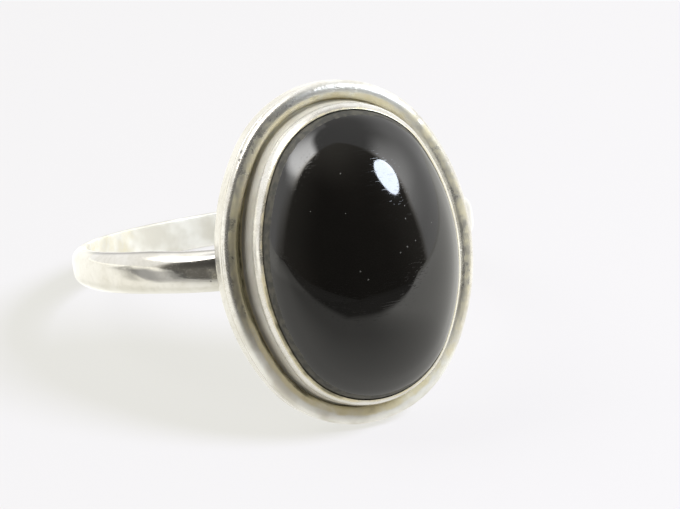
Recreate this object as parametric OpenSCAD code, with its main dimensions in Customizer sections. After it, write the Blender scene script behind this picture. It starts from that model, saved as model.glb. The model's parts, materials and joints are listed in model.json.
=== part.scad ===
// A finger ring: an oval black onyx cabochon in a plain bezel, with a round border wire
// about it, on a slim band of low dome section.
// It lies as it rests by itself, on the lower end of its head and the back of its band,
// where it has worn small flats.
// The head faces -Y, +Z is up, and the origin is on the resting surface at the middle of
// the ring's box.

/* [Band] */
// Inside diameter of the band, where the finger goes
finger_d = 18.2; // [15:0.1:22]
// Thickness of the band at its crown, beside the head
band_t_front = 0.9; // [0.7:0.05:1.4]
// Thickness of the band at its crown, at the back
band_t_back = 0.72; // [0.6:0.02:1.2]
// Width of the band beside the head
band_w_front = 2.12; // [1.7:0.02:3]
// Width of the band at the back
band_w_back = 1.6; // [1.4:0.02:2.4]
// Radius of the band's domed outside, across its width
band_dome_r = 1.3; // [1.15:0.05:2.5]

/* [Stone] */
// Width of the stone at its foot
stone_w = 9.8; // [8:0.1:12]
// Length of the stone at its foot
stone_l = 13.82; // [12:0.02:17]
// Height of the stone
stone_h = 5.2; // [4.6:0.1:6]
// Radius of the stone's rounded ends, seen from the front
stone_end_r = 4.2; // [3.6:0.1:4.6]
// Height of the stone's upright foot, below its dome
stone_foot_h = 1.4; // [1:0.05:1.5]

/* [Head] */
// Gap that the metal leaves round the stone
stone_gap = 0.05; // [0.03:0.01:0.1]
// Thickness of the back plate
plate_t = 0.75; // [0.5:0.05:1]
// Distance from the finger to the plate's back
plate_lift = 0.05; // [0.03:0.01:0.3]
// Thickness of the bezel's wall
bezel_t = 0.24; // [0.2:0.02:0.4]
// Height of the bezel above the back plate
bezel_h = 2.2; // [1.8:0.01:2.4]
// Distance that the bezel's lip is pressed in over the stone
lip_in = 0.07; // [0.04:0.01:0.1]
// Diameter of the border wire
wire_d = 0.86; // [0.6:0.02:1]
// Width over the border wire
border_w = 12.56; // [12.3:0.02:13]
// Length over the border wire
border_l = 16.34; // [16.2:0.02:17]
// Depth to which the border wire is sunk in the back plate
wire_sink = 0.06; // [0.05:0.01:0.2]
// Distance from the border wire's outside to the plate's edge
plate_step = 0.03; // [0.02:0.01:0.3]

/* [Wear] */
// Depth of the small flats that the ring has worn where it rests
worn_flat = 0.06; // [0.04:0.01:0.1]

/* [Hidden] */

// Steps round a full circle, for the head's large arcs and for the wire's section
round_fn = 96;
wire_fn = 48;

// An oval of four arcs, as [half width, half length, radius of its ends]. The bezel
// follows the stone's outline, and the plate's edge follows the border wire's middle line.
half_w = stone_w / 2;
half_l = stone_l / 2;
stone_oval = [half_w, half_l, stone_end_r];
wire_half_w = (border_w - wire_d) / 2;
wire_half_l = (border_l - wire_d) / 2;
wire_oval = [wire_half_w, wire_half_l, stone_end_r + wire_half_l - half_l];

// Where an oval's end arc and side arc have their middles, and the side arc's radius
function end_mid(oval) = oval[1] - oval[2];
function side_radius(oval) =
    (oval[0] * oval[0] + end_mid(oval) * end_mid(oval) - oval[2] * oval[2]) / (2 * (oval[0] - oval[2]));
function side_mid(oval) = side_radius(oval) - oval[0];
// Angle, from the side's middle, at which a side arc meets an end arc
function join_angle(oval) = atan2(end_mid(oval), side_mid(oval));

// Distances outside the stone's outline
wall_in = stone_gap;
wall_out = wall_in + bezel_t;
// Distance of the plate's edge outside the wire's middle line, and how far inside that
// line its swept part reaches
plate_out = wire_d / 2 - plate_step;
plate_in = wire_half_w / 3;

// Heights above the plate's back
wire_h = plate_t - wire_sink + wire_d / 2;
lip_h = plate_t + bezel_h;
// Height over which the bezel leans in outside and inside, and the rounding of its lip
lean_h = 0.9;
lean_inside_h = 0.4;
lip_round = 0.1;
stone_z = plate_t + stone_gap;

// Distances from the hoop's axis
bore_r = finger_d / 2;
plate_y = bore_r + plate_lift;
band_r = bore_r + (band_t_front + band_t_back) / 2;
band_shift = (band_t_front - band_t_back) / 2;
dome_mid_r = band_r - band_dome_r;

// Half width of the band's back, and how far out its edge is there
back_half_w = band_w_back / 2;
back_edge_y = dome_mid_r - band_shift + sqrt(band_dome_r * band_dome_r - back_half_w * back_half_w);

// The ring rests on the plate's lower end and on the lower edge of the band's back
head_low_z = wire_half_l + plate_out;
rest_tilt = atan2(head_low_z - back_half_w, plate_y + back_edge_y);
axis_z = back_edge_y * sin(rest_tilt) + back_half_w * cos(rest_tilt) - worn_flat;

// Steps round the stone, rings up its dome, and the size of the bevel at its foot
stone_steps = 72;
dome_rings = 11;
foot_cut = 0.12;

// A point of the stone's outline: four arcs, one after the other
join_a = join_angle(stone_oval);
end_c = end_mid(stone_oval);
side_r = side_radius(stone_oval);
side_c = side_mid(stone_oval);
function arc_point(c, r, a) = [c[0] + r * cos(a), c[1] + r * sin(a)];
function outline_point(a) =
    a < join_a ? arc_point([-side_c, 0], side_r, a) :
    a < 180 - join_a ? arc_point([0, end_c], stone_end_r, a) :
    a < 180 + join_a ? arc_point([side_c, 0], side_r, a) :
    a < 360 - join_a ? arc_point([0, -end_c], stone_end_r, a) :
    arc_point([-side_c, 0], side_r, a);
outline = [for (i = [0:stone_steps - 1]) outline_point(360 * i / stone_steps)];

// The stone's rings, each as [how much of the outline, height above the foot]
dome_h = stone_h - stone_foot_h;
rings = concat(
    [[1 - foot_cut / half_w, 0], [1, foot_cut]],
    [for (i = [0:dome_rings - 1]) [cos(90 * i / dome_rings), stone_foot_h + dome_h * sin(90 * i / dome_rings)]]
);
stone_points = concat(
    [for (ring = rings) for (p = outline) [p[0] * ring[0], p[1] * ring[0], stone_z + ring[1]]],
    [[0, 0, stone_z + stone_h]]
);
top_point = len(stone_points) - 1;
last_ring = (len(rings) - 1) * stone_steps;
stone_faces = concat(
    [[for (i = [0:stone_steps - 1]) i]],
    [for (k = [0:len(rings) - 2]) for (i = [0:stone_steps - 1])
        [k * stone_steps + i, (k + 1) * stone_steps + i, (k + 1) * stone_steps + (i + 1) % stone_steps,
         k * stone_steps + (i + 1) % stone_steps]],
    [for (i = [0:stone_steps - 1]) [last_ring + i, top_point, last_ring + (i + 1) % stone_steps]]
);

// The box's ends along Y, which set the origin midway between them
function resting_y(p) = -(plate_y + p[2]) * cos(rest_tilt) + p[1] * sin(rest_tilt);
front_y = min([for (p = stone_points) resting_y(p)]);
back_y = (dome_mid_r - band_shift) * cos(rest_tilt) + band_dome_r;
mid_y = (front_y + back_y) / 2;

// Puts the ring, made with its hoop's axis upright, the way it rests
module resting() {
    translate([0, -mid_y, axis_z]) rotate([-rest_tilt, 0, 0]) children();
}

// Puts the head, made on its back about the Z axis, on the front of the hoop
module on_front() {
    translate([0, -plate_y, 0]) rotate([90, 0, 0]) children();
}

// The part of the head's face that an oval's end arc fills, and the part that its side arc
// fills. The two meet along the line through both arcs' middles.
far = 3 * half_l;
function join_far(oval) = [far * cos(join_angle(oval)), end_mid(oval) + far * sin(join_angle(oval))];
module wedge(corners) {
    translate([0, 0, -far]) linear_extrude(2 * far) polygon(corners);
}
module end_wedge(oval) {
    p = join_far(oval);
    wedge([[0, end_mid(oval)], p, [0, 3 * far], [-p[0], p[1]]]);
}
module side_wedge(oval) {
    p = join_far(oval);
    wedge([[0, end_mid(oval)], p, [p[0], -p[1]], [0, -end_mid(oval)]]);
}

// Sweeps a section round an oval. X in the section is the distance outside the oval.
module round_oval(oval) {
    for (turn = [0, 180]) rotate([0, 0, turn]) {
        intersection() {
            translate([0, end_mid(oval), 0]) rotate_extrude($fn = round_fn) translate([oval[2], 0]) children();
            end_wedge(oval);
        }
        intersection() {
            translate([-side_mid(oval), 0, 0])
                rotate_extrude($fn = 2 * round_fn) translate([side_radius(oval), 0]) children();
            side_wedge(oval);
        }
    }
}

// The section of the bezel's wall, from inside the plate up. The wall leans in more and
// more towards its lip, whose outer edge is rounded off.
module bezel_section() {
    lean_z = lip_h - lip_round - lean_h;
    outer_side = [for (f = [0:0.25:1]) [wall_out - lip_in * f * f, lean_z + lean_h * f]];
    polygon(concat(
        [[wall_in, plate_t / 2], [wall_out, plate_t / 2]],
        outer_side,
        [[wall_out - lip_in - lip_round / 3, lip_h - lip_round / 3], [wall_out - lip_in - lip_round, lip_h]],
        [[wall_in - lip_in, lip_h - lip_round / 2], [wall_in - lip_in, lip_h - lip_round]],
        [[wall_in, lip_h - lip_round - lean_inside_h]]
    ));
}

// The back plate: its border, and its middle inside that
module plate() {
    middle_in = plate_in / 2;
    round_oval(wire_oval) translate([-plate_in, 0]) square([plate_in + plate_out, plate_t]);
    linear_extrude(plate_t) square([2 * (wire_oval[0] - middle_in), 2 * end_mid(wire_oval)], center = true);
    for (side = [-1, 1])
        translate([0, side * end_mid(wire_oval), 0])
            cylinder(r = wire_oval[2] - middle_in, h = plate_t, $fn = round_fn);
}

module head() {
    on_front() {
        plate();
        round_oval(stone_oval) bezel_section();
        round_oval(wire_oval) translate([0, wire_h]) circle(d = wire_d, $fn = wire_fn);
    }
}

// The band, a ring of domed section whose sides close in towards the back
module band() {
    reach = 2 * finger_d;
    half_w_mid = (band_w_front + band_w_back) / 4;
    half_w_slope = (band_w_front - band_w_back) / 4 / bore_r;
    solder_y = plate_y + plate_t / 2;
    intersection() {
        translate([0, -band_shift, 0]) rotate_extrude($fn = 2 * round_fn)
            translate([dome_mid_r, 0]) circle(r = band_dome_r, $fn = wire_fn);
        translate([-reach / 2, 0, 0]) rotate([90, 0, 90]) linear_extrude(reach) polygon([
            for (end = [-solder_y, reach / 2]) [end, -(half_w_mid - half_w_slope * end)],
            for (end = [reach / 2, -solder_y]) [end, half_w_mid - half_w_slope * end]
        ]);
    }
}

// The band, back plate, bezel and border wire, soldered into one piece of silver. What
// would reach below the resting surface is worn off it.
module silver_setting() {
    color("gainsboro") difference() {
        resting() difference() {
            union() {
                band();
                head();
            }
            cylinder(r = bore_r, h = 4 * band_w_front, center = true, $fn = 2 * round_fn);
        }
        translate([-far, -far, -far]) cube([2 * far, 2 * far, far]);
    }
}

module onyx_cabochon() {
    color([0.06, 0.06, 0.06]) resting() on_front()
        polyhedron(points = stone_points, faces = stone_faces, convexity = 2);
}

silver_setting();
onyx_cabochon();
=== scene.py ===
import json
import math

import bpy
from mathutils import Matrix, Vector


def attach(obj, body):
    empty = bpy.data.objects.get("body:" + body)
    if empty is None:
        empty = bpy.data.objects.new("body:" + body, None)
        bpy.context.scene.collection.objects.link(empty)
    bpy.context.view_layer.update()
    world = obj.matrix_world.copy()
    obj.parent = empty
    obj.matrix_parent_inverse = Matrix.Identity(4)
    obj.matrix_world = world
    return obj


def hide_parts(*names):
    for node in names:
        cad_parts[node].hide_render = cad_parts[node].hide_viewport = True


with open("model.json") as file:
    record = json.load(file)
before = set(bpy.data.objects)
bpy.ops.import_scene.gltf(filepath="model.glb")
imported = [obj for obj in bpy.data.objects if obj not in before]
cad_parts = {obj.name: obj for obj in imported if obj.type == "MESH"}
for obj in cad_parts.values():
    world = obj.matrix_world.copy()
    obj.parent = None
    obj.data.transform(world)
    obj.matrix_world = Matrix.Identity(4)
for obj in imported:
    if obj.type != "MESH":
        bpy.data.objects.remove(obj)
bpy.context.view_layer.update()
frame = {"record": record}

# An oval onyx cabochon ring in silver. Sizes are in millimetres, brought to metres by MM.
MM = 0.001

# The head's ovals as half width, half length and end radius: the stone's outline, the middle line
# of the border wire and the edge of the back plate.
STONE_OVAL = (4.9, 6.91, 4.2)
WIRE_OVAL = (5.85, 7.74, 5.03)
PLATE_OVAL = (6.25, 8.14, 5.43)

# The head's heights are over the plate's back. The bezel's wall is measured out from the stone.
PLATE_THICK = 0.95
WIRE_R = 0.43
WIRE_H = 1.12
WALL_IN, WALL_OUT = 0.05, 0.29
STONE_FOOT, STONE_MID, STONE_WAIST, STONE_TOP = 0.8, 1.5, 2.2, 6.0
STONE_CUT = 0.12

# The band: the radii of its bore and its crown, how far the crown is set towards the head, half its
# width, its thickness at the edges and what it loses in half width from its middle to its back.
BORE_R = 9.1
CROWN_R = 9.91
CROWN_SHIFT = 0.09
BAND_HALF = 0.93
BAND_EDGE = 0.3
BAND_TAPER = 0.13

# How far the plate's back and the band's end are from the hoop's middle.
PLATE_BACK = 9.15
BAND_END = 9.6

# How finely the round forms are divided.
BAND_STEPS, OVAL_STEPS, WALL_STEPS = 240, 240, 280
WIRE_SIDES = 36
DOME_RINGS = 40

# How near counts as the same place, which gaps are merged, and the square a form starts from.
SAME_PLACE = 0.001
MERGE_GAP = 0.002
SEED = 0.1

# Where the hoop's middle is and how far its axis leans, from the finger hole of the record.
finger = frame["record"]["mounts"][0]
hoop_at = Vector(finger["pos_m"])
lean = math.atan2(finger["axis"][1], finger["axis"][2])
BAND_PLACE = Matrix.Translation(hoop_at) @ Matrix.Rotation(-lean, 4, "X")
HEAD_PLACE = BAND_PLACE @ Matrix.Translation((0, -PLATE_BACK * MM, 0))
HEAD_PLACE = HEAD_PLACE @ Matrix.Rotation(math.pi / 2, 4, "X")


# The camera, with its angles in degrees and its focal length in the photo's pixels

PHOTO_WIDE, PHOTO_TALL = 680, 509
FOCAL_LENGTH = 6352.45
SENSOR_WIDE = 36
VIEW_AZIMUTH, VIEW_ELEVATION, VIEW_ROLL = -21.7988, 26.4802, 0.3821
VIEW_DISTANCE = 300
VIEW_MIDDLE = Vector((0, -6, 7.5))
OFF_ACROSS, OFF_UP = 0.0945, 0.0147


def towards(azimuth, elevation):
    """A direction out from the ring: 0 is the side that the head faces, 90 is the right."""
    a, e = math.radians(azimuth), math.radians(elevation)
    return Vector((math.sin(a) * math.cos(e), -math.cos(a) * math.cos(e), math.sin(e)))


def place_camera():
    """The photo's viewpoint: from the front left and above, with a long lens."""
    azimuth, roll = math.radians(VIEW_AZIMUTH), math.radians(VIEW_ROLL)
    back = towards(VIEW_AZIMUTH, VIEW_ELEVATION)
    right = Vector((math.cos(azimuth), math.sin(azimuth), 0))
    up = back.cross(right)
    side = right * math.cos(roll) + up * math.sin(roll)
    top = up * math.cos(roll) - right * math.sin(roll)
    at = VIEW_MIDDLE + back * VIEW_DISTANCE - side * OFF_ACROSS - top * OFF_UP
    lens = bpy.data.cameras.new("camera")
    lens.sensor_width = SENSOR_WIDE
    lens.lens = FOCAL_LENGTH * SENSOR_WIDE / PHOTO_WIDE
    lens.clip_start, lens.clip_end = 0.01, 10
    made = bpy.data.objects.new("camera", lens)
    bpy.context.collection.objects.link(made)
    turn = Matrix((side, top, back)).transposed().to_4x4()
    made.matrix_world = Matrix.Translation(at * MM) @ turn
    bpy.context.scene.camera = made
    return made


camera = place_camera()


# Bench tools


def edit():
    bpy.ops.object.mode_set(mode="EDIT")


def edit_all():
    edit()
    bpy.ops.mesh.select_all(action="SELECT")


def leave():
    bpy.ops.object.mode_set(mode="OBJECT")


def only(piece):
    bpy.ops.object.select_all(action="DESELECT")
    piece.select_set(True)
    bpy.context.view_layer.objects.active = piece


def settle(piece):
    """Puts the object's place, turn and scale into its mesh."""
    only(piece)
    bpy.ops.object.transform_apply(location=True, rotation=True, scale=True)


def named(name):
    piece = bpy.context.object
    piece.name = piece.data.name = name
    settle(piece)
    return piece


def pick(piece, wanted):
    """Selects the vertices whose place passes, and goes to edit mode."""
    edit()
    bpy.ops.mesh.select_mode(type="VERT")
    bpy.ops.mesh.select_all(action="DESELECT")
    leave()
    for v in piece.data.vertices:
        v.select = wanted(v.co / MM)
    edit()


def one_vertex(name, at):
    """A piece of a single vertex, to draw a form from. It stays in edit mode."""
    bpy.ops.object.select_all(action="DESELECT")
    bpy.ops.mesh.primitive_plane_add(size=SEED * MM, location=Vector(at) * MM)
    piece = named(name)
    edit_all()
    bpy.ops.mesh.merge(type="CENTER")
    return piece


def pick_near(piece, points):
    """Selects the vertices at these points, and goes to edit mode."""
    pick(piece, lambda p: any((p - Vector(c)).length < SAME_PLACE for c in points))


def draw_section(name, path):
    """A closed line of edges through the points, drawn by extruding one vertex."""
    piece = one_vertex(name, path[0])
    for a, b in zip(path, path[1:]):
        step = (Vector(b) - Vector(a)) * MM
        bpy.ops.mesh.extrude_vertices_move(TRANSFORM_OT_translate={"value": step})
    leave()
    pick_near(piece, (path[0], path[-1]))
    bpy.ops.mesh.edge_face_add()
    leave()
    return piece


def soften_corners(piece, corners, radius, cuts=4):
    """Rounds the section's corners at these points."""
    pick_near(piece, corners)
    bpy.ops.mesh.bevel(offset=radius * MM, segments=cuts, affect="VERTICES")
    leave()


def close_sweep():
    """Joins the ends of what was spun, and turns its faces outwards."""
    bpy.ops.mesh.select_all(action="SELECT")
    bpy.ops.mesh.remove_doubles(threshold=MERGE_GAP * MM)
    bpy.ops.mesh.normals_make_consistent(inside=False)
    leave()


def side_of(oval):
    """How far the middle of an oval's side arc is past the oval's own, its radius and half angle."""
    half_w, half_l, end_r = oval
    end_mid = half_l - end_r
    side_r = (end_mid**2 + half_w**2 - end_r**2) / (2 * (half_w - end_r))
    return side_r - half_w, side_r, math.atan2(end_mid, side_r - half_w)


def sweep_round(piece, oval, steps=OVAL_STEPS):
    """Spins the section round the oval: half a side, an end, a side, an end, half a side."""
    side_mid, _, half_turn = side_of(oval)
    end_mid = oval[1] - oval[2]
    end_turn = math.pi - 2 * half_turn
    edit_all()
    for x, y, turn in (
        (-side_mid, 0, half_turn),
        (0, end_mid, end_turn),
        (side_mid, 0, 2 * half_turn),
        (0, -end_mid, end_turn),
        (-side_mid, 0, half_turn),
    ):
        share = max(4, round(steps * turn / (2 * math.pi)))
        bpy.ops.mesh.spin(steps=share, angle=turn, center=(x * MM, y * MM, 0), axis=(0, 0, -1))
    close_sweep()


def stack_rings(name, oval, rings):
    """A closed oval form, from its lowest ring up.

    Each ring is its scale across, its scale along and its height.
    """
    piece = one_vertex(name, (oval[0], 0, 0))
    leave()
    sweep_round(piece, oval)
    edit_all()
    across, along, height = rings[0]
    bpy.ops.transform.resize(value=(across, along, 1), center_override=(0, 0, 0))
    bpy.ops.transform.translate(value=(0, 0, height * MM))
    for to_across, to_along, to_height in rings[1:]:
        rise = (0, 0, (to_height - height) * MM)
        bpy.ops.mesh.extrude_edges_move(TRANSFORM_OT_translate={"value": rise})
        growth = (to_across / across, to_along / along, 1)
        bpy.ops.transform.resize(value=growth, center_override=(0, 0, to_height * MM))
        across, along, height = to_across, to_along, to_height
    for scale, _, level in (rings[0], rings[-1]):
        leave()
        reach = oval[0] * scale + 0.01
        pick(piece, lambda p: abs(p.z - level) < SAME_PLACE and abs(p.x) < reach)
        bpy.ops.mesh.edge_face_add()
        bpy.ops.mesh.poke()
    bpy.ops.mesh.select_all(action="SELECT")
    bpy.ops.mesh.normals_make_consistent(inside=False)
    leave()
    return piece


def uneven(piece, name, size, depth):
    """Takes the surface off true by a soft, hand-finished unevenness, inwards only."""
    clouds = bpy.data.textures.new(name, "CLOUDS")
    clouds.noise_scale = size * MM
    clouds.noise_depth = 1
    waves = piece.modifiers.new(name, "DISPLACE")
    waves.texture = clouds
    waves.texture_coords = "LOCAL"
    waves.strength = depth * MM
    waves.mid_level = 1
    only(piece)
    bpy.ops.object.modifier_apply(modifier=waves.name)


def carried(reach):
    """The options of a move that carries what lies within its reach along, smoothly."""
    return {
        "use_proportional_edit": True,
        "proportional_edit_falloff": "SMOOTH",
        "proportional_size": reach * MM,
    }


def beside(p, oval):
    """How far a point is outside an oval, in millimetres, less than nothing inside it."""
    side_mid, side_r, half_turn = side_of(oval)
    x, y = abs(p.x), abs(p.y)
    if math.atan2(y, x + side_mid) < half_turn:
        return math.hypot(x + side_mid, y) - side_r
    return math.hypot(x, y - (oval[1] - oval[2])) - oval[2]


def round_from(p, middle):
    """How many degrees a point is from a direction, as seen from the head's middle."""
    return abs((math.degrees(math.atan2(p.y, p.x)) - middle + 180) % 360 - 180)


def ramp(value, low, high):
    """From 0 at low to 1 at high, eased."""
    t = min(1.0, max(0.0, (value - low) / (high - low)))
    return t * t * (3 - 2 * t)


def mark(piece, name, level):
    """Writes a level for each vertex, from its place, as an attribute that a material reads."""
    made = piece.data.attributes.new(name, "FLOAT", "POINT")
    for v in piece.data.vertices:
        made.data[v.index].value = level(v.co / MM)


def finish_piece(piece, place, cad_node, finish, angle=40):
    """Sets the piece in its place on the ring, gives it its shading and finish, hides its solid and
    hangs it on the root.

    What would reach below the floor is flattened on it, as on the solid.
    """
    piece.matrix_world = place
    settle(piece)
    pick(piece, lambda p: p.z < 0)
    bpy.ops.transform.resize(value=(1, 1, 0), center_override=(0, 0, 0))
    leave()
    only(piece)
    bpy.ops.object.shade_smooth_by_angle(angle=math.radians(angle))
    piece.data.materials.clear()
    piece.data.materials.append(finish(piece))
    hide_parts(cad_node)
    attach(piece, "root")


# Tools for the finishes


def node(tree, kind, **values):
    made = tree.nodes.new(kind)
    for name, value in values.items():
        setattr(made, name, value)
    return made


def feed(tree, socket, value):
    """Gives a socket its value, which is a number, a colour or what another socket puts out."""
    if isinstance(value, (int, float)):
        socket.default_value = value
    elif isinstance(value, tuple):
        socket.default_value = (*value, 1)
    else:
        tree.links.new(value, socket)


def maths(tree, operation, a, b=0.0, clamp=False):
    made = node(tree, "ShaderNodeMath", operation=operation, use_clamp=clamp)
    feed(tree, made.inputs[0], a)
    feed(tree, made.inputs[1], b)
    return made.outputs[0]


def add(tree, *values):
    total = values[0]
    for value in values[1:]:
        total = maths(tree, "ADD", total, value)
    return total


def times(tree, *values):
    total = values[0]
    for value in values[1:]:
        total = maths(tree, "MULTIPLY", total, value)
    return total


def most(tree, *values):
    total = values[0]
    for value in values[1:]:
        total = maths(tree, "MAXIMUM", total, value)
    return total


def without(tree, value):
    """What is left of 1 after a value."""
    return maths(tree, "SUBTRACT", 1.0, value)


def blend(tree, amount, a, b):
    """From number a where the amount is 0 to number b where it is 1."""
    return add(tree, times(tree, a, without(tree, amount)), times(tree, b, amount))


def spread(tree, value, low, high, to_low=0.0, to_high=1.0):
    """From to_low at low to to_high at high, eased."""
    made = node(tree, "ShaderNodeMapRange", interpolation_type="SMOOTHSTEP")
    feed(tree, made.inputs["Value"], value)
    for name, v in (("From Min", low), ("From Max", high), ("To Min", to_low), ("To Max", to_high)):
        made.inputs[name].default_value = v
    return made.outputs["Result"]


def mixed(tree, amount, a, b):
    """From colour a where the amount is 0 to colour b where it is 1."""
    made = node(tree, "ShaderNodeMix", data_type="RGBA")
    for number, value in ((0, amount), (6, a), (7, b)):
        feed(tree, made.inputs[number], value)
    return made.outputs[2]


def dimmed(tree, colour, level):
    """A colour at a level of brightness."""
    made = node(tree, "ShaderNodeVectorMath", operation="SCALE")
    feed(tree, made.inputs[0], colour)
    feed(tree, made.inputs["Scale"], level)
    return made.outputs[0]


def own_place(tree):
    return node(tree, "ShaderNodeTexCoord").outputs["Object"]


def parts_of(tree, place):
    """The three parts of a place or direction."""
    parts = node(tree, "ShaderNodeSeparateXYZ")
    feed(tree, parts.inputs[0], place)
    return parts.outputs


def noise(tree, place, scale, detail=2.0, roughness=0.5):
    """Cloudy noise from 0 to 1, the finer the larger its scale."""
    made = node(tree, "ShaderNodeTexNoise")
    feed(tree, made.inputs["Vector"], place)
    for name, value in (("Scale", scale), ("Detail", detail), ("Roughness", roughness)):
        feed(tree, made.inputs[name], value)
    return made.outputs["Fac"]


def level_of(tree, name):
    """A level that was marked on the piece, or 0 on a piece without it."""
    return node(tree, "ShaderNodeAttribute", attribute_name=name).outputs["Fac"]


def emboss(tree, shader, height):
    """Gives the surface a relief, with its height in millimetres."""
    bump = node(tree, "ShaderNodeBump")
    bump.inputs["Strength"].default_value = 1
    bump.inputs["Distance"].default_value = MM
    feed(tree, bump.inputs["Height"], height)
    feed(tree, shader.inputs["Normal"], bump.outputs["Normal"])


def new_material(name):
    made = bpy.data.materials.new(name)
    made.use_nodes = True
    tree = made.node_tree
    return made, tree, tree.nodes["Principled BSDF"]


def new_group(name, outputs, inputs):
    """A node group with number sockets: the names of its outputs, and its inputs with their values."""
    group = bpy.data.node_groups.new(name, "ShaderNodeTree")
    for title, value in inputs.items():
        made = group.interface.new_socket(title, in_out="INPUT", socket_type="NodeSocketFloat")
        made.default_value = value
    for title in outputs:
        group.interface.new_socket(title, in_out="OUTPUT", socket_type="NodeSocketFloat")
    return group, group.nodes.new("NodeGroupInput"), group.nodes.new("NodeGroupOutput")


def group_in(tree, group, values):
    """Places a group in a material, with its own values."""
    made = node(tree, "ShaderNodeGroup", node_tree=group)
    for title, value in values.items():
        feed(tree, made.inputs[title], value)
    return made


def seen_places(piece, marks):
    """The points of a finished piece where the photo shows small marks, each with its radius.

    A mark is its pixel, across and down from the photo's upper left corner, and its radius in
    millimetres.
    """
    bpy.context.view_layer.update()
    view = camera.matrix_world
    found = []
    for across, down, radius in marks:
        sight = Vector((across - PHOTO_WIDE / 2, PHOTO_TALL / 2 - down, -FOCAL_LENGTH))
        sight = view.to_3x3() @ sight.normalized()
        hit, point, _, _ = piece.ray_cast(view.translation, sight)
        if hit:
            found.append((point, radius * MM))
    return found


def spots(tree, place, places):
    """A mask of small ragged marks at points of the ring, each with its radius."""
    rag = noise(tree, place, 6000)
    masks = []
    for point, radius in places:
        gap = node(tree, "ShaderNodeVectorMath", operation="DISTANCE")
        feed(tree, gap.inputs[0], place)
        gap.inputs[1].default_value = point
        near = maths(tree, "DIVIDE", gap.outputs["Value"], radius)
        masks.append(spread(tree, add(tree, near, rag), 0.8, 1.4, 1, 0))
    return most(tree, *masks)


# The effects that the finishes share

# Each layer of scratches has its turn and the level of noise that it is cut at. The noise is
# stretched along one axis into hairlines.
SCRATCH_LAYERS = [((0.3, 0.9, 0.2), 0.735), ((1.2, -0.4, 0.8), 0.74), ((-0.7, 0.5, 2.1), 0.73)]
SCRATCH_STRETCH = (600, 14000, 14000)
SCRATCH_SOFT = 0.06


def fine_scratches():
    """Hairline scratches in three directions, as a mask from 0 to 1."""
    group, given, out = new_group("fine_scratches", ["Mask"], {"Density": 1.0})
    place = own_place(group)
    lines = []
    for turn, cut in SCRATCH_LAYERS:
        mapping = node(group, "ShaderNodeMapping")
        mapping.inputs["Rotation"].default_value = turn
        mapping.inputs["Scale"].default_value = SCRATCH_STRETCH
        feed(group, mapping.inputs["Vector"], place)
        grain = noise(group, mapping.outputs["Vector"], given.outputs["Density"], detail=1)
        lines.append(spread(group, grain, cut - SCRATCH_SOFT, cut))
    feed(group, out.inputs["Mask"], most(group, *lines))
    return group


def tarnish_and_reflection_tones():
    """How far the silver has darkened, by tarnish and by painted dark reflection, from its piece's
    tarnish_and_reflection level, broken up by small patches.
    """
    group, given, out = new_group("tarnish_and_reflection_tones", ["Tan", "Black"], {"Level": 0.0})
    level = given.outputs["Level"]
    patches = noise(group, own_place(group), 1400, detail=4, roughness=0.6)
    broken = times(group, add(group, patches, -0.5), 0.9)
    level = add(group, level, times(group, broken, spread(group, level, 0.02, 0.3)))
    feed(group, out.inputs["Tan"], spread(group, level, 0.08, 0.6))
    feed(group, out.inputs["Black"], spread(group, level, 0.5, 1.0))
    return group


SCRATCHES = fine_scratches()
TARNISH_AND_REFLECTION_TONES = tarnish_and_reflection_tones()


# The silver

BRIGHT, BRIGHT_CLOUD = (0.7, 0.685, 0.645), (0.62, 0.6, 0.545)
FROSTED, FROSTED_CLOUD = (0.94, 0.925, 0.855), (0.73, 0.7, 0.61)
MOTTLED = (0.42, 0.39, 0.32)
TAN = (0.76, 0.685, 0.46)
BLACKENED = (0.16, 0.145, 0.085)
PITTED = (0.15, 0.145, 0.13)
NICK_HIGHLIGHT = (0.95, 0.93, 0.88)
DULL_AND_REFLECTION_GREY = (0.23, 0.225, 0.22)
REFLECTION_OLIVE = (0.25, 0.225, 0.13)

# Marks of wear: the photo's pixel, across and down, and the radius in millimetres.
BAND_PITS = [(211, 281, 0.055), (99.5, 291, 0.07)]
WIRE_PITS = [(241, 152, 0.14), (245, 156.5, 0.1), (239, 160.5, 0.12)]
# The nicks' pale colour is a painted highlight.
WIRE_NICK_HIGHLIGHTS = [(258, 122, 0.12), (260, 118.5, 0.14), (262, 115, 0.13), (461, 250, 0.08)]
WIRE_RIPPLES = [(325, 91.5, 1.0), (344, 90.5, 1.0)]


def silver_colour(tree, soft, fine, satin, tones, mottle):
    """Creamy where it is clean, paler where it is satin, then tan and black where it tarnishes and where
    a dark reflection is painted.
    """
    clean = mixed(tree, spread(tree, soft, 0.35, 0.7), BRIGHT, BRIGHT_CLOUD)
    clean = mixed(tree, times(tree, spread(tree, fine, 0.45, 0.7), mottle), clean, MOTTLED)
    frosted = mixed(tree, spread(tree, soft, 0.38, 0.62), FROSTED, FROSTED_CLOUD)
    worn = mixed(tree, satin, clean, frosted)
    worn = mixed(tree, tones.outputs["Tan"], worn, TAN)
    return mixed(tree, tones.outputs["Black"], worn, BLACKENED)


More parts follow.
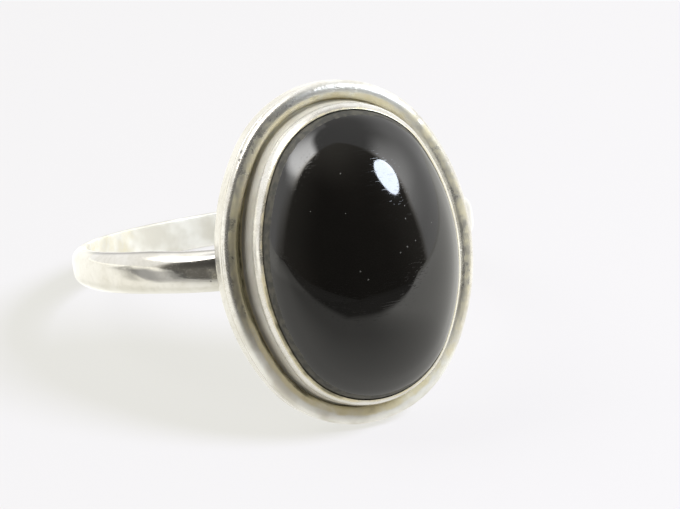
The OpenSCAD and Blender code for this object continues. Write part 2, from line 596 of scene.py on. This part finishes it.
def silver_finish(
    name, roughness, mottle, dent, pits=(), nick_highlights=(), ripples=(), frost=0.65, dull_and_reflection_tone=DULL_AND_REFLECTION_GREY
):
    """Silver worn soft by use, mottled, with hairline scratches, faint dents, tarnish and painted dark
    reflections.

    A piece's tarnish_and_reflection level says where it is tarnished and where a dark reflection is
    painted, satin where it is frosted, and dull_and_reflection where it is dull and where a dark
    reflection is painted. Pits are dark and sunk, nicks have a pale painted highlight and ripples are
    raised.
    """
    metal, tree, shader = new_material(name)
    place = own_place(tree)
    satin = level_of(tree, "satin")
    tones = group_in(tree, TARNISH_AND_REFLECTION_TONES, {"Level": level_of(tree, "tarnish_and_reflection")})
    scratches = group_in(tree, SCRATCHES, {"Density": 1.0}).outputs["Mask"]
    soft = noise(tree, place, 520, detail=3)
    fine = noise(tree, place, 3400, detail=4, roughness=0.6)

    colour = silver_colour(tree, soft, fine, satin, tones, mottle)
    matte = most(tree, times(tree, satin, frost), times(tree, tones.outputs["Tan"], 0.7))
    matte = add(tree, matte, mottle * 0.28)
    height = 0.0
    if pits:
        pitted = spots(tree, place, pits)
        colour = mixed(tree, times(tree, pitted, 0.85), colour, PITTED)
        matte = add(tree, matte, times(tree, pitted, 0.3))
        height = times(tree, pitted, -0.008)
    # Darker where dull, and a painted dark reflection where one is marked.
    colour = mixed(tree, level_of(tree, "dull_and_reflection"), colour, dull_and_reflection_tone)
    # A nick has a painted highlight: pale and matte.
    if nick_highlights:
        nick_highlight = spots(tree, place, nick_highlights)
        colour = mixed(tree, nick_highlight, colour, NICK_HIGHLIGHT)
        matte = add(tree, matte, times(tree, nick_highlight, 0.6))
    if ripples:
        height = add(tree, times(tree, spots(tree, place, ripples), fine, 0.035), height)
    feed(tree, shader.inputs["Base Color"], colour)
    feed(tree, shader.inputs["Metallic"], maths(tree, "SUBTRACT", 1.0, matte, clamp=True))

    rough = add(
        tree,
        spread(tree, soft, 0.3, 0.75, roughness * 0.7, roughness * 1.25),
        times(tree, scratches, 0.1),
        times(tree, spread(tree, fine, 0.4, 0.7), mottle * 0.15),
        times(tree, satin, 0.35),
    )
    rough = maths(tree, "ADD", rough, times(tree, tones.outputs["Tan"], 0.15), clamp=True)
    feed(tree, shader.inputs["Roughness"], rough)

    height = add(
        tree,
        times(tree, noise(tree, place, 900), dent),
        height,
        times(tree, fine, dent * 0.35),
        times(tree, scratches, -0.001),
    )
    emboss(tree, shader, height)
    return metal


def band_silver(band):
    """The smoothest silver of the ring, with two small pits."""
    return silver_finish(
        "silver_band", roughness=0.07, mottle=0.15, dent=0.005, pits=seen_places(band, BAND_PITS)
    )


def plate_silver(plate):
    return silver_finish("silver_plate", roughness=0.16, mottle=0.3, dent=0.008)


def bezel_silver(bezel):
    return silver_finish("silver_bezel", roughness=0.16, mottle=0.3, dent=0.008)


def wire_silver(wire):
    """The roughest silver of the ring, with pits, nicks with a painted highlight, ripples and a painted
    dark reflection on its left face.
    """
    return silver_finish(
        "silver_wire",
        roughness=0.22,
        mottle=0.5,
        dent=0.014,
        pits=seen_places(wire, WIRE_PITS),
        nick_highlights=seen_places(wire, WIRE_NICK_HIGHLIGHTS),
        ripples=seen_places(wire, WIRE_RIPPLES),
        frost=0.45,
        dull_and_reflection_tone=REFLECTION_OLIVE,
    )


# The onyx

ONYX_INDEX = 1.6
ONYX_DEEP, ONYX_CLOUD = (0.0035, 0.003, 0.0025), (0.0065, 0.0055, 0.0045)
DUST_AND_GLINT_GREY = (0.1, 0.095, 0.085)
EDGE_BAND_DARK, EDGE_BAND_PALE = (0.018, 0.017, 0.011), (0.055, 0.05, 0.034)

# Larger specks of dust, and as the last five, scratches by the highlight with a painted glint: the
# photo's pixel, across and down, and the radius in millimetres.
DUST_AND_GLINTS = [(345.5, 213.5, 0.05), (340.5, 173.5, 0.05), (310.5, 211.5, 0.04), (453.5, 278.5, 0.06)]
DUST_AND_GLINTS += [(431.5, 222.5, 0.05), (360.5, 271.5, 0.06), (368.5, 279.5, 0.06), (404.5, 205.5, 0.05)]
DUST_AND_GLINTS += [(405.5, 218.5, 0.06), (407.5, 246.5, 0.07), (415.5, 240.5, 0.05), (400.5, 252.5, 0.05)]


def fine_dust(tree, place):
    """A mask of small specks, one in few cells of a loose pattern."""
    cells = node(tree, "ShaderNodeTexVoronoi")
    cells.inputs["Scale"].default_value = 900
    feed(tree, cells.inputs["Vector"], place)
    keep = spread(tree, cells.outputs["Color"], 0.8, 0.86)
    return times(tree, keep, spread(tree, cells.outputs["Distance"], 0.03, 0.05, 1, 0))


def onyx_finish(stone):
    """Black onyx polished to a gloss, with dust, hairline scratches, a painted glint on the scratches by
    the highlight, and a matte olive band along its edge.
    """
    onyx, tree, shader = new_material("onyx")
    shader.inputs["IOR"].default_value = ONYX_INDEX
    place = own_place(tree)
    cloud = noise(tree, place, 260, detail=5)
    grain = noise(tree, place, 3000, detail=3)
    scratches = group_in(tree, SCRATCHES, {"Density": 1.0}).outputs["Mask"]
    # Dust is grey, and so is the painted glint on the scratches by the highlight.
    dust_and_glints = most(tree, fine_dust(tree, place), spots(tree, place, seen_places(stone, DUST_AND_GLINTS)))
    edge_band = spread(tree, add(tree, level_of(tree, "edge_band"), grain, -0.5), 0.35, 0.7)

    body = mixed(tree, spread(tree, cloud, 0.3, 0.7), ONYX_DEEP, ONYX_CLOUD)
    body = mixed(tree, dust_and_glints, body, DUST_AND_GLINT_GREY)
    dirt = mixed(tree, spread(tree, grain, 0.4, 0.6), EDGE_BAND_DARK, EDGE_BAND_PALE)
    feed(tree, shader.inputs["Base Color"], mixed(tree, edge_band, body, dirt))

    polish = spread(tree, cloud, 0.3, 0.7, 0.03, 0.06)
    rough = add(tree, polish, times(tree, scratches, 0.1), times(tree, dust_and_glints, 0.5))
    rough = maths(tree, "ADD", rough, times(tree, edge_band, 0.6), clamp=True)
    feed(tree, shader.inputs["Roughness"], rough)
    emboss(tree, shader, times(tree, scratches, -0.0006))
    return onyx


# The band, with its head end at -y and its width along z

DOME_HALF_STEPS = 14
DOME_POWER = 4.2
BORE_POINTS = 9
EDGE_ROUND = 0.09
RIGHT_FROM, RIGHT_REACH, RIGHT_IN = 8.6, 5, 0.26
HEAD_END_FROM, HEAD_END_REACH = 7.5, 3.5
HEAD_END_DOWN, HEAD_END_NARROW = 0.115, 0.945
CUT_MERGE_GAP = 0.004


def from_axis(p):
    return math.hypot(p.x, p.y)


def hoop_turn(p):
    """Degrees round the hoop: 0 at its left, 90 at its head end, less than 0 towards its back."""
    return math.degrees(math.atan2(-p.y, -p.x))


def band_tarnish_and_reflection(p):
    """Brown tarnish on the inside at the back left, and a brown painted reflection of the shaded floor
    on the middle of the outside by the head.
    """
    turn = hoop_turn(p)
    inside = ramp(from_axis(p), BORE_R + 0.3, BORE_R + 0.1) * ramp(turn, -70, -54) * ramp(turn, -6, -24)
    # The brown patch on the outside by the head is a painted reflection of the shaded floor.
    outside = ramp(turn, 72, 66) * ramp(turn, 44, 56) * ramp(abs(p.z + 0.2), 0.42, 0.2)
    return max(0.25 * inside, 0.27 * outside)


def band_satin(p):
    """The bore is satin, and in the back half the edges are too."""
    edge = 0.25 * ramp(p.y, 0, 2)
    return ramp(from_axis(p), BORE_R + 0.12 + edge, BORE_R + 0.04 + edge)


def band_dull_and_reflection(p):
    """Painted reflection of the dark room at a patch on the left and a strip over it, painted reflection
    of the band's far inside along the near upper rim, and dull at the back and the right.
    """
    turn, out = hoop_turn(p), from_axis(p)
    # The patch and the strip are painted reflection of the dark room.
    middle = max(0.2 - (turn - 27) * 0.036, -0.12)
    half = 0.1 + 0.2 * ramp(turn, 26, 32)
    patch = (0.95 - 0.3 * ramp(turn, 33, 40)) * ramp(turn, 24.5, 28) * ramp(turn, 48, 42)
    patch *= ramp(abs(p.z - middle), half + 0.06, half - 0.1)
    top = 0.35 + 0.42 * ramp(turn, 30, 58)
    strip = 0.8 * ramp(turn, 34, 46) * ramp(turn, 74, 68)
    strip *= ramp(p.z, top + 0.05, top - 0.05) * ramp(p.z, 0.05, 0.3)
    # Along the near upper rim, a painted reflection of the band's far inside.
    near_rim = 0.75 * ramp(out, BORE_R + 0.5, BORE_R + 0.34) * ramp(p.z, 0.5, 0.7) * ramp(-p.y, -1, 1)
    back = 0.45 * ramp(out, BORE_R + 0.08, BORE_R + 0.22) * ramp(turn, -20, -50)
    right = 0.7 * ramp(turn, 120, 140) * ramp(out, BORE_R + 0.2, BORE_R + 0.4)
    return max(patch, strip, near_rim, back, right)


def spin_hoop():
    """The band's hoop: a section domed outside and flat inside, spun round the finger hole."""
    rise = CROWN_R - BORE_R - BAND_EDGE
    dome = []
    for i in range(-DOME_HALF_STEPS, DOME_HALF_STEPS + 1):
        u = math.sin(math.pi / 2 * i / DOME_HALF_STEPS)
        dome.append((CROWN_R - rise * abs(u) ** DOME_POWER, 0, BAND_HALF * u))
    bore = [(BORE_R, 0, BAND_HALF * (1 - 2 * i / (BORE_POINTS - 1))) for i in range(BORE_POINTS)]
    band = draw_section("band", dome + bore)
    soften_corners(band, (dome[0], dome[-1], bore[0], bore[-1]), EDGE_ROUND)
    edit_all()
    bpy.ops.mesh.spin(steps=BAND_STEPS, angle=2 * math.pi, center=(0, 0, 0), axis=(0, 0, 1))
    close_sweep()
    return band


def make_band():
    """The slim D-section band, domed outside and smooth inside, that narrows and thins to its back."""
    band = spin_hoop()

    # The outside is moved towards the head, which thins the back.
    pick(band, lambda p: from_axis(p) > BORE_R + 0.1)
    bpy.ops.transform.translate(value=(0, -CROWN_SHIFT * MM, 0))
    leave()
    narrow = band.modifiers.new("narrow", "SIMPLE_DEFORM")
    narrow.deform_method = "TAPER"
    narrow.deform_axis = "Y"
    narrow.lock_x = True
    narrow.factor = -BAND_TAPER / BAND_HALF / BORE_R * 2 * CROWN_R
    only(band)
    bpy.ops.object.modifier_apply(modifier=narrow.name)
    uneven(band, "band_waves", size=2.4, depth=0.012)

    # The right side is bent in, and the head end is a little lower and slimmer.
    pick(band, lambda p: p.x > RIGHT_FROM and -4 < p.y < 0)
    bpy.ops.transform.translate(value=(-RIGHT_IN * MM, 0, 0), **carried(RIGHT_REACH))
    leave()
    pick(band, lambda p: p.y < -HEAD_END_FROM)
    easing = carried(HEAD_END_REACH)
    slimmer = (1, 1, HEAD_END_NARROW)
    bpy.ops.transform.translate(value=(0, 0, -HEAD_END_DOWN * MM), **easing)
    bpy.ops.transform.resize(value=slimmer, center_override=(0, 0, 0), **easing)
    leave()

    # The band ends in the plate.
    edit_all()
    cut = (0, -BAND_END * MM, 0)
    bpy.ops.mesh.bisect(plane_co=cut, plane_no=(0, -1, 0), clear_outer=True)
    bpy.ops.mesh.remove_doubles(threshold=CUT_MERGE_GAP * MM)
    bpy.ops.mesh.edge_face_add()
    leave()

    mark(band, "tarnish_and_reflection", band_tarnish_and_reflection)
    mark(band, "satin", band_satin)
    mark(band, "dull_and_reflection", band_dull_and_reflection)
    finish_piece(band, BAND_PLACE, "silver_setting", band_silver)


# The head, with its upper end at +y and the stone's top at +z


def groove_share(p):
    """How much of the dark groove shows, which is less at the head's upper end."""
    return 1 - 0.45 * ramp(p.y, 4, 6.5)


def plate_groove(p):
    """The plate's top is dark on the inner side of the wire, and a little on its outer side."""
    out = beside(p, WIRE_OVAL)
    top = ramp(p.z, PLATE_THICK - 0.25, PLATE_THICK)
    return top * max(0.18 * ramp(out, 0.05, 0.3), ramp(out, 0.1, -0.2) * groove_share(p))


def make_back_plate():
    """The oval plate under the stone, with its edge softened."""
    half_w, half_l, _ = PLATE_OVAL
    low_round, top_round = 0.1, 0.08

    def ring(inset, height):
        return (half_w - inset) / half_w, (half_l - inset) / half_l, height

    rings = [ring(inset, 0) for inset in (5.6, 4.8, 4.0, 3.2, 2.4, 1.8, 1.2, 0.8, 0.4, 0.12)]
    for a in (0.4, 0.8, 1.2, 1.57):
        rings.append(ring(low_round * (1 - math.sin(a)), low_round * (1 - math.cos(a))))
    for share in (0.3, 0.5, 0.7):
        rings.append(ring(0, PLATE_THICK * share))
    for a in (0.2, 0.6, 1.0, 1.4):
        rings.append(ring(top_round * (1 - math.cos(a)), PLATE_THICK - top_round * (1 - math.sin(a))))
    rings += [ring(inset, PLATE_THICK) for inset in (0.12, 0.3, 0.6, 0.9, 1.3, 2.5, 4, 5.5)]
    plate = stack_rings("back_plate", PLATE_OVAL, rings)
    uneven(plate, "plate_waves", size=1.7, depth=0.012)
    mark(plate, "tarnish_and_reflection", plate_groove)
    finish_piece(plate, HEAD_PLACE, "silver_setting", plate_silver)


# The wire's crest is worn flatter, and its soldered joint is a slightly thinner place.
WIRE_WORN = WIRE_H + 0.7 * WIRE_R
WIRE_WORN_TO = 0.75
WIRE_JOINT, WIRE_JOINT_HALF = 53.3, 0.7
WIRE_JOINT_AT = Vector((3.95, 5.3, WIRE_H))
WIRE_JOINT_THIN = 0.94


def left_face(p, out):
    """The wire on the left, all but its outer side."""
    return ramp(round_from(p, 160), 58, 38) * ramp(-out, -0.7, -0.3)


def wire_tarnish_and_reflection(p):
    """Golden on the inner side and on parts of the crest, black at the inner foot and the left, and a
    painted dark reflection on the left face.
    """
    out = beside(p, WIRE_OVAL) / WIRE_R
    up = (p.z - WIRE_H) / WIRE_R
    right = ramp(p.x, 2.5, 4.5)
    low = ramp(-p.y, 0, 3)
    gold = (0.4 + 0.08 * low - 0.25 * right) * ramp(-out + 0.2 * low, -0.05, 0.4)
    crest = 0.34 * right * ramp(abs(out - 0.1), 0.7, 0.3)
    deep = ramp(-0.8 * out - 0.9 * up, 0.25, 0.95) * groove_share(p)
    left = ramp(round_from(p, 178), 38, 18) * ramp(-out, 0.15, 0.55)
    low_left = 0.85 * ramp(round_from(p, -140), 42, 22) * ramp(-out, 0.4, 0.7)
    foot = 0.1 * ramp(0.6 * out - up, 0.75, 1.1)
    # On the left face, all but its outer side, a painted reflection of the dark room.
    return max(gold, crest, deep, left, low_left, 0.34 * left_face(p, out), foot)


def wire_satin(p):
    """Satin on the crest at the lower end, on the inner side at the upper end, and on the outside."""
    out = beside(p, WIRE_OVAL) / WIRE_R
    outer = ramp(out, -0.15, 0.05)
    below = ramp(round_from(p, -120), 62, 40)
    away = ramp(round_from(p, 155), 35, 70) * ramp(p.x, 5.2, 3.8)
    top = ramp(round_from(p, 85), 50, 25)
    crest = ramp(round_from(p, -90), 60, 30) * (0.4 + 0.4 * ramp(abs(out - 0.15), 0.9, 0.3))
    away *= 0.06 + 0.37 * outer + 0.55 * top * (1 - outer)
    return min(1.0, 0.06 + away + 0.155 * below * outer + crest)


def wire_dark_reflection(p):
    """A painted reflection of the dark room on the left, but not on its outer side."""
    out = beside(p, WIRE_OVAL) / WIRE_R
    return (0.2 + 0.3 * ramp(round_from(p, 178), 38, 18)) * left_face(p, out)


def make_border_wire():
    """The round wire laid on the plate round the bezel."""
    bpy.ops.object.select_all(action="DESELECT")
    bpy.ops.mesh.primitive_circle_add(
        vertices=WIRE_SIDES,
        radius=WIRE_R * MM,
        location=(WIRE_OVAL[0] * MM, 0, WIRE_H * MM),
        rotation=(math.pi / 2, 0, 0),
    )
    wire = named("border_wire")
    pick(wire, lambda p: p.z > WIRE_WORN)
    bpy.ops.transform.resize(value=(1, 1, WIRE_WORN_TO), center_override=(0, 0, WIRE_WORN * MM))
    leave()
    sweep_round(wire, WIRE_OVAL, WALL_STEPS)
    uneven(wire, "wire_waves", size=1.3, depth=0.02)
    pick(wire, lambda p: round_from(p, WIRE_JOINT) < WIRE_JOINT_HALF)
    bpy.ops.transform.resize(value=(WIRE_JOINT_THIN,) * 3, center_override=WIRE_JOINT_AT * MM)
    leave()
    mark(wire, "tarnish_and_reflection", wire_tarnish_and_reflection)
    mark(wire, "satin", wire_satin)
    mark(wire, "dull_and_reflection", wire_dark_reflection)
    finish_piece(wire, HEAD_PLACE, "silver_setting", wire_silver)


# The bezel's section, as distances out from the stone's outline and heights: the fillet of solder
# at its foot, the wall, the lip that bends in over the stone, and the inside.
BEZEL_FOOT = [(0.6, 0.6), (0.58, 0.9), (0.48, 0.99), (0.4, 1.05), (0.335, 1.13), (0.3, 1.24)]
BEZEL_WALL = [(WALL_OUT, height) for height in (1.38, 1.6, 1.8, 2.0)]
BEZEL_BEND = [(0.287, 2.12), (0.28, 2.24), (0.267, 2.36), (0.247, 2.47), (0.22, 2.57)]
BEZEL_BEND += [(0.185, 2.66), (0.145, 2.74), (0.1, 2.81), (0.055, 2.87), (0.01, 2.915)]
BEZEL_LIP = [(-0.018, 2.937), (-0.036, 2.94), (-0.046, 2.925), (-0.044, 2.83)]
BEZEL_INSIDE = [(0, 2.6), (WALL_IN, 2.45), (WALL_IN, 0.6)]


def bezel_groove(p):
    """Dark at the foot and along the lip's edge, and more of the lip at the lower left."""
    out = beside(p, STONE_OVAL)
    fillet = (0.5 + 0.3 * ramp(-p.x, 2.0, 4.0)) * ramp(out, 0.3, 0.42)
    edge = 0.4 * ramp(out, 0.1, 0.02)
    low_left = 0.8 * ramp(round_from(p, -138), 50, 28) * ramp(out, 0.13, 0.07)
    return fillet + max(edge, low_left)


def bezel_satin(p):
    """The wall is satin and the lip is polished."""
    return 0.08 + 0.55 * ramp(p.z, 2.5, 2.2)


def make_bezel():
    """The plain bezel: a thin wall round the stone, burnished in over its edge."""
    section = BEZEL_FOOT + BEZEL_WALL + BEZEL_BEND + BEZEL_LIP + BEZEL_INSIDE
    bezel = draw_section("bezel", [(STONE_OVAL[0] + out, 0, height) for out, height in section])
    sweep_round(bezel, STONE_OVAL, WALL_STEPS)
    uneven(bezel, "bezel_waves", size=1.1, depth=0.012)
    mark(bezel, "tarnish_and_reflection", bezel_groove)
    mark(bezel, "satin", bezel_satin)
    finish_piece(bezel, HEAD_PLACE, "silver_setting", bezel_silver)


def stone_edge_band(p):
    """A matte olive band on the stone's wall, up to a line just over the lip."""
    return ramp(p.z, 3.52, 3.34)


def make_stone():
    """The high-domed cabochon, with a small cut round its foot and a wall fuller over the lip."""
    half_w, half_l, _ = STONE_OVAL
    rings = [(1 - STONE_CUT / half_w, 1 - STONE_CUT / half_l, STONE_FOOT)]
    rings += [(1, 1, height) for height in (STONE_FOOT + STONE_CUT, STONE_MID, STONE_WAIST)]
    for i in range(1, DOME_RINGS):
        a = math.pi / 2 * i / DOME_RINGS
        height = STONE_WAIST + (STONE_TOP - STONE_WAIST) * math.sin(a)
        fuller = 1 + 0.011 * ramp(height, 2.6, 3.25) * ramp(height, 4.1, 3.35)
        rings.append((math.cos(a) * fuller, math.cos(a) * fuller, height))
    stone = stack_rings("onyx_stone", STONE_OVAL, rings)
    mark(stone, "edge_band", stone_edge_band)
    finish_piece(stone, HEAD_PLACE, "onyx_cabochon", onyx_finish, angle=50)


make_band()
make_back_plate()
make_border_wire()
make_bezel()
make_stone()


# The studio

FLOOR_SIZE = 12000
PAPER_WHITE = (1.0, 0.99, 0.937, 1)
PAPER_GREY, PAPER_GREY_IN_GLOSS = (0.06, 0.06, 0.06), (0.06, 0.06, 0.045)
PAPER_GLOW = 0.726
PAPER_LIT, PAPER_DIM, PAST_PAPER = 1.5, 0.6, 0.16

ROOM_OVERHEAD = 0.42
WHITE_WALLS, DARK_ROOM = (1.0, 0.995, 0.985), (1.0, 0.95, 0.84)
BACKDROP = (0.92, 0.92, 0.93)

SOFTBOX_AZIMUTH, SOFTBOX_ELEVATION = 53.5, 43.5
SOFTBOX_WIDE, SOFTBOX_TALL = 17, 22
SOFTBOX_DISTANCE = 400
STONE_AT = Vector((0, -9, 9))


def paper_in_gloss(tree, place):
    """How bright the paper is painted in the silver and the onyx, from its place in millimetres."""
    x, y, _ = parts_of(tree, place)
    x, y = maths(tree, "DIVIDE", x, MM), maths(tree, "DIVIDE", y, MM)

    # In gloss it is painted dark before the camera, and on the right further towards it.
    further = most(tree, times(tree, add(tree, x, -10.0), 0.8), 0.0)
    on_paper = spread(tree, add(tree, y, further), -64, -44)

    # The light falls off towards the camera, but not on the right.
    near = spread(tree, y, -30, 5, PAPER_DIM, PAPER_LIT)
    lit = blend(tree, spread(tree, x, -1, 25), near, PAPER_LIT)
    lit = blend(tree, on_paper, PAST_PAPER, lit)

    # A narrow shade runs off to the left, and far out there the paper is brighter.
    shade = add(tree, times(tree, add(tree, x, 10.0), 0.37), times(tree, y, 0.93))
    shade = spread(tree, maths(tree, "ABSOLUTE", shade), 3, 9, 0.5, 0.0)
    shade = times(tree, shade, spread(tree, x, -24, -34))
    return times(tree, lit, without(tree, shade), spread(tree, x, -75, -50, 1.3, 1.0))


def make_floor():
    """White paper: even to the eye, lit mostly by its own painted glow, and with painted light and shade
    in what the ring mirrors.
    """
    bpy.ops.object.select_all(action="DESELECT")
    bpy.ops.mesh.primitive_plane_add(size=FLOOR_SIZE * MM)
    sheet = named("floor")
    paper, tree, shader = new_material("paper")
    shader.inputs["Roughness"].default_value = 0.9
    shader.inputs["Specular IOR Level"].default_value = 0
    shader.inputs["Emission Color"].default_value = PAPER_WHITE
    glossy = node(tree, "ShaderNodeLightPath").outputs["Is Glossy Ray"]
    level = blend(tree, glossy, 1.0, paper_in_gloss(tree, own_place(tree)))
    grey = mixed(tree, glossy, PAPER_GREY, PAPER_GREY_IN_GLOSS)
    feed(tree, shader.inputs["Base Color"], dimmed(tree, grey, level))
    # The glow is painted light, most of the paper's brightness.
    feed(tree, shader.inputs["Emission Strength"], times(tree, level, PAPER_GLOW))
    sheet.data.materials.append(paper)
    return sheet


def softbox(name, radiance, colour):
    """An oval softbox that faces the stone. Its width and height are in degrees as the stone sees it."""
    lamp = bpy.data.lights.new(name, "AREA")
    lamp.shape = "ELLIPSE"
    lamp.size = 2 * SOFTBOX_DISTANCE * math.tan(math.radians(SOFTBOX_WIDE / 2)) * MM
    lamp.size_y = 2 * SOFTBOX_DISTANCE * math.tan(math.radians(SOFTBOX_TALL / 2)) * MM
    lamp.color = colour
    lamp.energy = radiance * math.pi * (math.pi / 4 * lamp.size * lamp.size_y)
    box = bpy.data.objects.new(name, lamp)
    bpy.context.collection.objects.link(box)
    out = towards(SOFTBOX_AZIMUTH, SOFTBOX_ELEVATION)
    box.location = (STONE_AT + out * SOFTBOX_DISTANCE) * MM
    box.rotation_euler = out.to_track_quat("Z", "Y").to_euler()
    return box


def light_floor(sheet):
    """A second softbox for the paper alone, with the first one's place and so with its shadow."""
    box = softbox("floor_softbox", radiance=149, colour=(0.72, 0.695, 1.0))
    box.light_linking.receiver_collection = bpy.data.collections.new("floor_only")
    box.light_linking.receiver_collection.objects.link(sheet)
    box.visible_glossy = False


def light_around(tree, azimuth, elevation, in_front):
    """How bright the studio is in a direction, with its azimuth and elevation in degrees."""
    # White walls, with a glow on the right.
    walls = spread(tree, elevation, 35, 62, 1.25, 0.65)
    glow = times(tree, spread(tree, elevation, 8, 36), spread(tree, elevation, 66, 50))
    glow = times(tree, glow, spread(tree, azimuth, 110, 56, 0, 2.4), spread(tree, azimuth, 40, 60))
    walls = add(tree, walls, glow)

    # The dark room on the camera's side, lighter overhead.
    room = maths(tree, "ABSOLUTE", add(tree, azimuth, 8.0))
    room = spread(tree, room, 30, 85, 0.07, 0.22)
    room = blend(tree, spread(tree, elevation, 46, 92), room, ROOM_OVERHEAD)

    # A window on the left, brightest beside the room.
    window = times(tree, spread(tree, elevation, 28, 46), spread(tree, elevation, 74, 66))
    window = times(tree, window, spread(tree, azimuth, -85, -94))
    window = times(tree, window, spread(tree, azimuth, -165, -88, 0.5, 8.5))
    return add(tree, blend(tree, in_front, walls, room), window)


def make_surroundings():
    """White all round, with the dark room where the camera stands."""
    world = bpy.data.worlds.new("studio")
    bpy.context.scene.world = world
    world.use_nodes = True
    tree = world.node_tree
    tree.nodes.clear()
    x, y, z = parts_of(tree, node(tree, "ShaderNodeTexCoord").outputs["Generated"])
    in_degrees = 180 / math.pi
    azimuth = times(tree, maths(tree, "ARCTAN2", x, times(tree, y, -1.0)), in_degrees)
    elevation = times(tree, maths(tree, "ARCSINE", z), in_degrees)
    in_front = times(tree, spread(tree, azimuth, -97, -84), spread(tree, azimuth, 67, 59))
    tint = mixed(tree, in_front, WHITE_WALLS, DARK_ROOM)
    around = dimmed(tree, tint, light_around(tree, azimuth, elevation, in_front))
    to_camera = node(tree, "ShaderNodeLightPath").outputs["Is Camera Ray"]
    light = node(tree, "ShaderNodeBackground")
    feed(tree, light.inputs["Color"], mixed(tree, to_camera, around, BACKDROP))
    out = node(tree, "ShaderNodeOutputWorld")
    feed(tree, out.inputs["Surface"], light.outputs[0])


floor = make_floor()
make_surroundings()
softbox("key_softbox", radiance=20, colour=(0.8, 0.88, 1.0))
light_floor(floor)
bpy.context.scene.view_settings.view_transform = "Standard"
